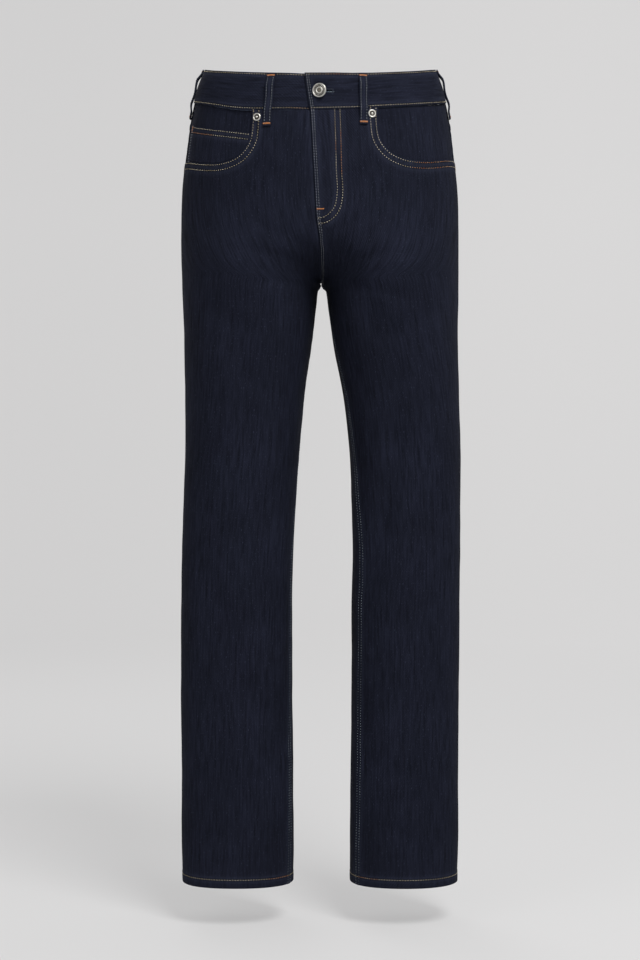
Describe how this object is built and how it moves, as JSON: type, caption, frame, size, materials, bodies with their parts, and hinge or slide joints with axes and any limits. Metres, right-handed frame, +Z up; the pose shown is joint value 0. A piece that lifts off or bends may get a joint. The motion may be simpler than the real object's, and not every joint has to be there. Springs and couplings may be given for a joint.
{
  "type": "slim fit jeans",
  "caption": "Hollow slim fit denim jeans, filled out as if worn, with scoop front pockets, patch back pockets, belt loops and a buttoned fly.",
  "frame": {"origin": "middle of the waist opening, at half the height of the waistband at the side seams, where the wearer's waist holds the garment up", "axes": "+Z up along the wearer, -Y the way the garment faces, +X towards the wearer's left"},
  "size_m": [0.3349, 0.2403, 0.9844],
  "materials": {
    "denim": "dark rinse indigo stretch denim, 3/1 twill with fine vertical slubs, matt with a faint sheen",
    "topstitch_thread": "pale gold and orange polyester topstitching thread",
    "zip_tape": "dark navy woven zip tape",
    "nickel": "satin nickel plate with darkened hollows"
  },
  "bodies": {
    "root": {"front_right": "denim", "front_left": "denim", "back_right": "denim", "back_left": "denim", "yoke_right": "denim", "yoke_left": "denim", "waistband": "denim", "pocket_facing_right": "denim", "pocket_facing_left": "denim", "coin_pocket": "denim", "back_pocket_right": "denim", "back_pocket_left": "denim", "loop_front_right": "denim", "loop_front_left": "denim", "loop_side_right": "denim", "loop_side_left": "denim", "loop_back": "denim", "fly_zip": "zip_tape", "button": "nickel", "rivet_right": "nickel", "rivet_left": "nickel"}
  },
  "joints": []
}
